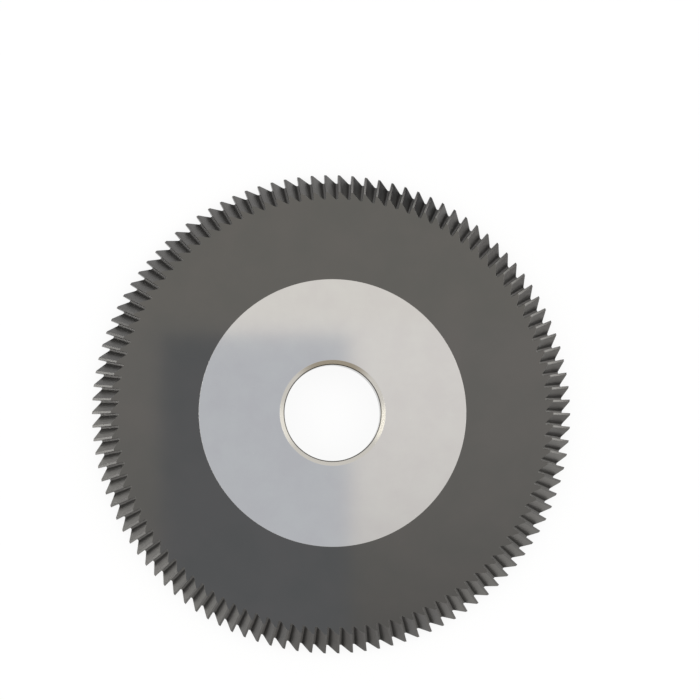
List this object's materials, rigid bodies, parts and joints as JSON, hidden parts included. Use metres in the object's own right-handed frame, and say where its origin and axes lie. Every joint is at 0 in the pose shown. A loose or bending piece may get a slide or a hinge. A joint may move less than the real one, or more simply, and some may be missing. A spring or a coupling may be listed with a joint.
{
  "type": "key machine cutter",
  "caption": "Flat circular key machine cutter with a ring of fine saw teeth on a bevelled rim, a round bore and a ground clamping hub.",
  "frame": {"origin": "on the bore axis, on the back face of the hub, which the disc lies on", "axes": "+Z along the bore axis, from the back face towards the front face, where the rim is smaller; +X through a tooth tip"},
  "size_m": [0.08, 0.08, 0.005],
  "materials": {
    "coated_steel": "dark coated high-speed steel, with ground clamping faces"
  },
  "bodies": {
    "root": {"cutter": "coated_steel"}
  },
  "joints": []
}
